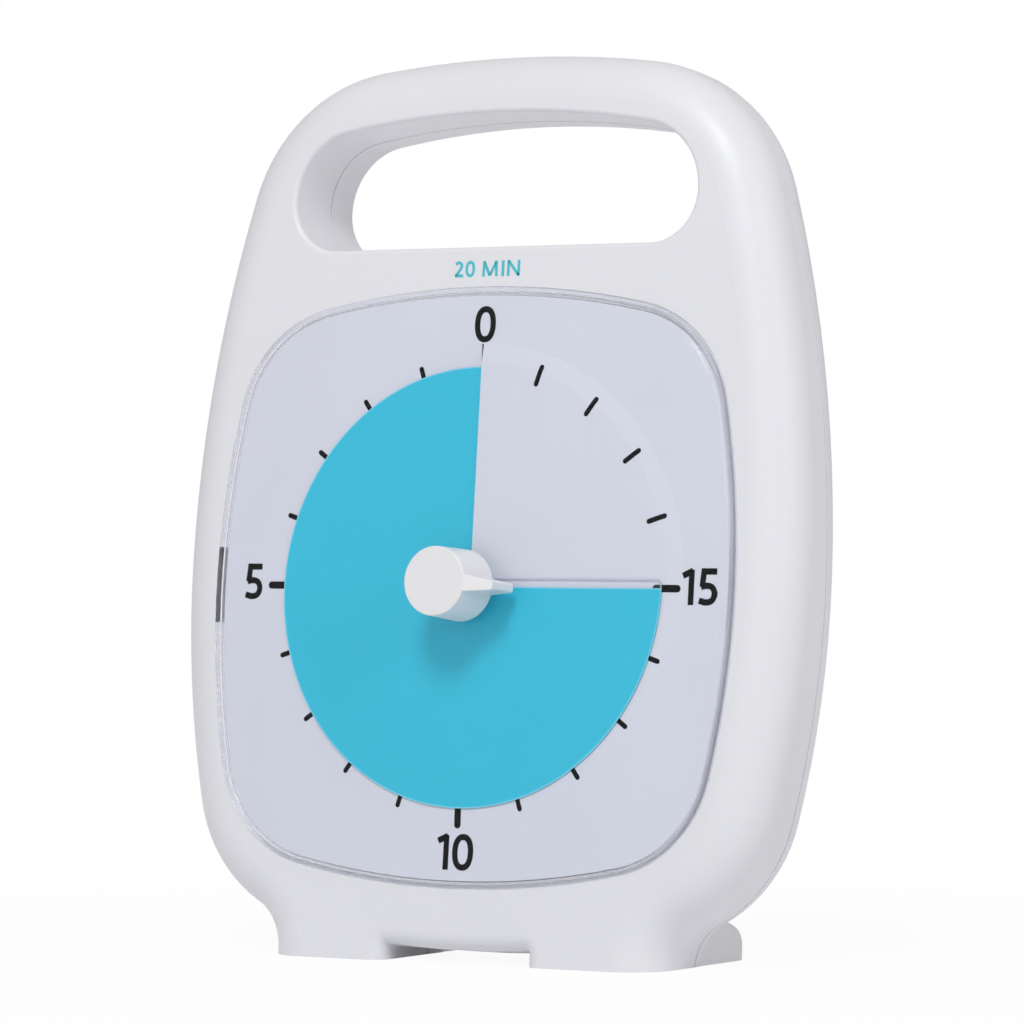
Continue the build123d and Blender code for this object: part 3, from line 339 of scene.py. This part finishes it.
def inkStroke(mesh, path, width, height, closed=False, roundEnds=False):
    # one stroke of a pen of constant width along a path of (x, z) points in mm
    points = [Vector(p) for p in path]
    count = len(points)
    stations = []
    for i, point in enumerate(points):
        before = points[i - 1] if closed or i else None
        after = points[(i + 1) % count] if closed or i < count - 1 else None
        ways = []
        if before is not None:
            ways.append((point - before).normalized())
        if after is not None:
            ways.append((after - point).normalized())
        way = sum(ways, Vector((0, 0))).normalized()
        side = Vector((-way.y, way.x))
        stretch = 1.0
        if len(ways) == 2:
            stretch = 1.0 / max(ink["sharpest"], side.dot(Vector((-ways[0].y, ways[0].x))))
        stations.append((point, side, width / 2 * stretch))
    if roundEnds:
        for end, sign in ((0, -1), (-1, 1)):
            point, side, half = stations[end]
            way = Vector((side.y, -side.x)) * sign
            cap = []
            for step in range(1, ink["capSteps"] + 1):
                turn = math.pi / 2 * step / ink["capSteps"]
                cap.append((point + way * half * math.sin(turn), side, max(half * math.cos(turn), ink["capTip"])))
            stations = cap[::-1] + stations if end == 0 else stations + cap
    rings = []
    for point, side, half in stations:
        ring = []
        for lift in (ink["thickness"], -ink["sunk"]):
            for sign in (1, -1):
                spot = point + side * half * sign
                level = height(spot.x, spot.y) + lift
                ring.append(mesh.verts.new((spot.x * mm, -level * mm, spot.y * mm)))
        rings.append(ring)
    pairs = list(zip(rings, rings[1:])) + ([(rings[-1], rings[0])] if closed else [])
    for near, far in pairs:
        for a, b in ((0, 1), (1, 3), (3, 2), (2, 0)):
            mesh.faces.new((near[a], near[b], far[b], far[a]))
    if not closed:
        for ring in (rings[0], rings[-1]):
            mesh.faces.new((ring[0], ring[1], ring[3], ring[2]))


def oval(centre, halfWidth, halfHeight, squareness=2.3, count=44):
    path = []
    for i in range(count):
        turn = 2 * math.pi * i / count
        c, s = math.cos(turn), math.sin(turn)
        x = halfWidth * math.copysign(abs(c) ** (2 / squareness), c)
        z = halfHeight * math.copysign(abs(s) ** (2 / squareness), s)
        path.append((centre[0] + x, centre[1] + z))
    return path


# each figure is a list of strokes in a box one unit high: a path and whether it closes
figures = {
    "0": {"width": 0.66, "strokes": [(oval((0.33, 0.5), 0.255, 0.425), True)]},
    "1": {"width": 0.38, "strokes": [
        ([(0.29, 0.0), (0.29, 0.97)], False),
        ([(0.02, 0.80), (0.33, 0.945)], False)]},
    "2": {"width": 0.64, "strokes": [
        (smoothPath([(0.07, 0.80), (0.30, 0.92), (0.52, 0.72), (0.36, 0.40), (0.09, 0.085)]), False),
        ([(0.03, 0.08), (0.64, 0.08)], False)]},
    "5": {"width": 0.57, "strokes": [
        ([(0.55, 0.925), (0.145, 0.925), (0.105, 0.50)], False),
        (smoothPath([(0.07, 0.50), (0.27, 0.535), (0.43, 0.475), (0.495, 0.31), (0.43, 0.135),
                     (0.25, 0.075), (0.02, 0.125)]), False)]},
    "M": {"width": 1.13, "strokes": [
        ([(0.09, 0.0), (0.13, 0.99)], False), ([(0.13, 0.93), (0.56, 0.06)], False),
        ([(0.56, 0.06), (1.0, 0.93)], False), ([(1.0, 0.99), (1.04, 0.0)], False)]},
    "I": {"width": 0.18, "strokes": [([(0.09, 0.0), (0.09, 1.0)], False)]},
    "N": {"width": 0.93, "strokes": [
        ([(0.09, 0.0), (0.09, 1.0)], False), ([(0.10, 0.95), (0.83, 0.05)], False),
        ([(0.84, 0.0), (0.84, 1.0)], False)]},
}


def inkFigure(mesh, letter, left, bottom, tall, pen, surface):
    for path, closed in figures[letter]["strokes"]:
        inkStroke(mesh, [(left + x * tall, bottom + z * tall) for x, z in path], pen, surface, closed)


def finishPiece(mesh, name, finish, body):
    bmesh.ops.recalc_face_normals(mesh, faces=mesh.faces[:])
    data = bpy.data.meshes.new(name)
    mesh.to_mesh(data)
    mesh.free()
    data.transform(faceMatrix)
    piece = bpy.data.objects.new(name, data)
    bpy.context.scene.collection.objects.link(piece)
    data.materials.append(finishes[finish])
    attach(piece, body)
    return piece


dialMarks = {
    "minutes": 20,
    "longEvery": 5,
    "stations": 4,  # a tick is cut in so many lengths, to follow the dial's climb
    "inner": 41.3,
    "outer": 45.8,
    "pen": 1.0,
    "longOuter": 47.3,
    "longPen": 1.45,
    "tall": 7.0,
    "figurePen": 1.22,
    # figure, left side, bottom
    "figures": [("0", -2.0, 48.3), ("5", -52.9, -2.8), ("1", -4.35, -55.4), ("0", -0.8, -55.4),
                ("1", 47.55, -3.1), ("5", 51.25, -3.1)],
}


def printDialMarks():
    mesh = bmesh.new()
    for minute in range(1, dialMarks["minutes"]):
        turn = 2 * math.pi * minute / dialMarks["minutes"]
        long = minute % dialMarks["longEvery"] == 0
        pen = dialMarks["longPen" if long else "pen"]
        way = Vector((-math.sin(turn), math.cos(turn)))
        first = way * (dialMarks["inner"] + pen / 2)
        last = way * (dialMarks["longOuter" if long else "outer"] - pen / 2)
        count = dialMarks["stations"]
        path = [tuple(first.lerp(last, step / count)) for step in range(count + 1)]
        inkStroke(mesh, path, pen, dialHeight, roundEnds=True)
    for letter, left, bottom in dialMarks["figures"]:
        inkFigure(mesh, letter, left, bottom, dialMarks["tall"], dialMarks["figurePen"], dialHeight)
    return finishPiece(mesh, "dial_printing", "print_black", "root")


frontMark = {
    # letter, left side
    "letters": [("2", -7.6), ("0", -5.05), ("M", -1.2), ("I", 3.25), ("N", 4.5)],
    "bottom": 61.3,
    "tall": 3.15,
    "pen": 0.6,
}


def printFrontMark():
    mesh = bmesh.new()
    for letter, left in frontMark["letters"]:
        inkFigure(mesh, letter, left, frontMark["bottom"], frontMark["tall"], frontMark["pen"], frontHeight)
    return finishPiece(mesh, "front_marking", "print_cyan", "root")


filmEdges = {
    "first": -97,    # degrees round the dial where the film begins, and where it ends at rest
    "last": 270,
    "radius": 43.28,
    "half": 0.075,   # half the film's thickness
    "pen": 0.24,
    "inner": 6.0,
    "lead": 1.6,     # height of the clear strip's upper edge
    "corner": 1.1,
    "cornerSteps": 4,
    "arcStep": 3,    # degrees
    "apart": 0.12,   # half the distance between the two edges where the strip joins the film
}


def traceFilmEdges():
    # painted light along the cut edges, drawn as fine lines of ink: a lighter painted highlight along the film's
    # edge, and a violet-grey painted shade line along the upper edge of the clear strip ahead of it
    far = filmEdges["radius"]
    reach = far - filmEdges["corner"]
    top = filmEdges["half"] + dial["rise"] * filmEdges["last"] / 360
    arc = []
    for degrees in range(filmEdges["first"], filmEdges["last"], filmEdges["arcStep"]):
        turn = math.radians(degrees)
        arc.append((-far * math.sin(turn), far * math.cos(turn), filmEdges["half"] + dial["rise"] * degrees / 360))
    apart = filmEdges["apart"]
    blue = arc + [(far, -apart, top), (filmEdges["inner"], -apart, top)]
    lead = [(filmEdges["inner"], filmEdges["lead"], top)]
    for step in range(filmEdges["cornerSteps"] + 1):
        turn = math.pi / 2 * (1 - step / filmEdges["cornerSteps"])
        lead.append((reach + filmEdges["corner"] * math.cos(turn),
                     filmEdges["lead"] - filmEdges["corner"] * (1 - math.sin(turn)), top))
    lead.append((far, apart, top))
    for name, finish, path in (("film_edge_painted_highlight", "film_edge_painted_highlight", blue), ("strip_edge_painted_shade", "strip_edge_painted_shade", lead)):
        levels = {(round(x, 3), round(z, 3)): level for x, z, level in path}
        mesh = bmesh.new()
        inkStroke(mesh, [(x, z) for x, z, level in path], filmEdges["pen"],
                  lambda x, z: min(levels.items(), key=lambda spot: math.dist(spot[0], (x, z)))[1])
        finishPiece(mesh, name, finish, "film")


printDialMarks()
printFrontMark()
traceFilmEdges()
print("stage: printing laid on")


# floor, light and camera

floorLook = {
    "size": 30.0,
    "color": (242, 242, 245),
    "roughness": 0.9,
    "specular": 0.1,
    "shadowFade": 0.94,    # share of white under the part, where its shadow shows
    "fadeStart": 0.09,     # from here, in metres, the floor turns to white
    "fadeEnd": 0.3,
}


def rayIsAny(tree, kinds):
    # 1 for a ray of any of these kinds, and 0 for the others
    ray = tree.nodes.new("ShaderNodeLightPath")
    seen = ray.outputs[kinds[0]]
    for kind in kinds[1:]:
        either = tree.nodes.new("ShaderNodeMath")
        either.operation = "MAXIMUM"
        tree.links.new(seen, either.inputs[0])
        tree.links.new(ray.outputs[kind], either.inputs[1])
        seen = either.outputs["Value"]
    return seen


def makeFloor():
    mesh = bmesh.new()
    bmesh.ops.create_grid(mesh, x_segments=1, y_segments=1, size=floorLook["size"])
    data = bpy.data.meshes.new("floor")
    mesh.to_mesh(data)
    mesh.free()
    floor = bpy.data.objects.new("floor", data)
    bpy.context.scene.collection.objects.link(floor)
    material, tree, shader = newMaterial("paleFloor")
    setInputs(shader, {"Base Color": screenColor(*floorLook["color"]), "Roughness": floorLook["roughness"],
                       "Specular IOR Level": floorLook["specular"]})
    glow = tree.nodes.new("ShaderNodeEmission")
    setInputs(glow, {"Color": (1, 1, 1, 1), "Strength": 1.0})
    seen = rayIsAny(tree, ("Is Camera Ray", "Is Glossy Ray", "Is Transmission Ray"))
    where = tree.nodes.new("ShaderNodeTexCoord")
    reach = tree.nodes.new("ShaderNodeVectorMath")
    reach.operation = "LENGTH"
    tree.links.new(where.outputs["Object"], reach.inputs[0])
    fade = tree.nodes.new("ShaderNodeMapRange")
    setInputs(fade, {"From Min": floorLook["fadeStart"], "From Max": floorLook["fadeEnd"],
                     "To Min": floorLook["shadowFade"], "To Max": 1.0})
    tree.links.new(reach.outputs["Value"], fade.inputs["Value"])
    share = tree.nodes.new("ShaderNodeMath")
    share.operation = "MULTIPLY"
    tree.links.new(seen, share.inputs[0])
    tree.links.new(fade.outputs["Result"], share.inputs[1])
    mix = tree.nodes.new("ShaderNodeMixShader")
    tree.links.new(share.outputs["Value"], mix.inputs["Fac"])
    tree.links.new(shader.outputs["BSDF"], mix.inputs[1])
    tree.links.new(glow.outputs["Emission"], mix.inputs[2])
    tree.links.new(mix.outputs["Shader"], tree.nodes["Material Output"].inputs["Surface"])
    data.materials.append(material)


studio = {
    "roomLight": 0.515,
    "lamps": [
        # name, place from the dial's centre in metres, size in metres, power in watts
        ("keyLamp", (0.32, -1.0, 1.05), 0.45, 8.6),
        ("sideLamp", (1.5, -0.4, 0.7), 0.8, 3.2),
    ],
}


def makeLight():
    world = bpy.data.worlds.new("studioRoom")
    bpy.context.scene.world = world
    world.use_nodes = True
    tree = world.node_tree
    room = tree.nodes["Background"]
    setInputs(room, {"Color": (1, 1, 1, 1), "Strength": studio["roomLight"]})
    shown = tree.nodes.new("ShaderNodeBackground")
    setInputs(shown, {"Color": (1, 1, 1, 1), "Strength": 1.0})
    mix = tree.nodes.new("ShaderNodeMixShader")
    tree.links.new(rayIsAny(tree, ("Is Camera Ray", "Is Transmission Ray")), mix.inputs["Fac"])
    tree.links.new(room.outputs["Background"], mix.inputs[1])
    tree.links.new(shown.outputs["Background"], mix.inputs[2])
    tree.links.new(mix.outputs["Shader"], tree.nodes["World Output"].inputs["Surface"])
    for name, place, size, power in studio["lamps"]:
        light = bpy.data.lights.new(name, "AREA")
        light.shape = "DISK"
        light.size = size
        light.energy = power
        lamp = bpy.data.objects.new(name, light)
        bpy.context.scene.collection.objects.link(lamp)
        lamp.location = dialCentre + Vector(place)
        lamp.rotation_mode = "QUATERNION"
        lamp.rotation_quaternion = Vector(place).to_track_quat("Z", "Y")


eye = {
    "place": (0.5683, -0.9239, 0.0167),  # from the dial's centre
    "azimuth": 31.17,
    "elevation": 0.107,
    "lens": 194.8,
    "sensor": 36.0,
    "nearest": 0.05,
    "farthest": 100.0,
}


def makeCamera():
    data = bpy.data.cameras.new("camera")
    data.lens = eye["lens"]
    data.sensor_width = eye["sensor"]
    data.clip_start = eye["nearest"]
    data.clip_end = eye["farthest"]
    camera = bpy.data.objects.new("camera", data)
    bpy.context.scene.collection.objects.link(camera)
    turn, climb = math.radians(eye["azimuth"]), math.radians(eye["elevation"])
    back = Vector((math.sin(turn) * math.cos(climb), -math.cos(turn) * math.cos(climb), math.sin(climb)))
    camera.location = dialCentre + Vector(eye["place"])
    camera.rotation_mode = "QUATERNION"
    camera.rotation_quaternion = back.to_track_quat("Z", "Y")
    bpy.context.scene.camera = camera


makeFloor()
makeLight()
makeCamera()
bpy.context.scene.view_settings.view_transform = "Standard"
print("stage: floor, light and camera set")
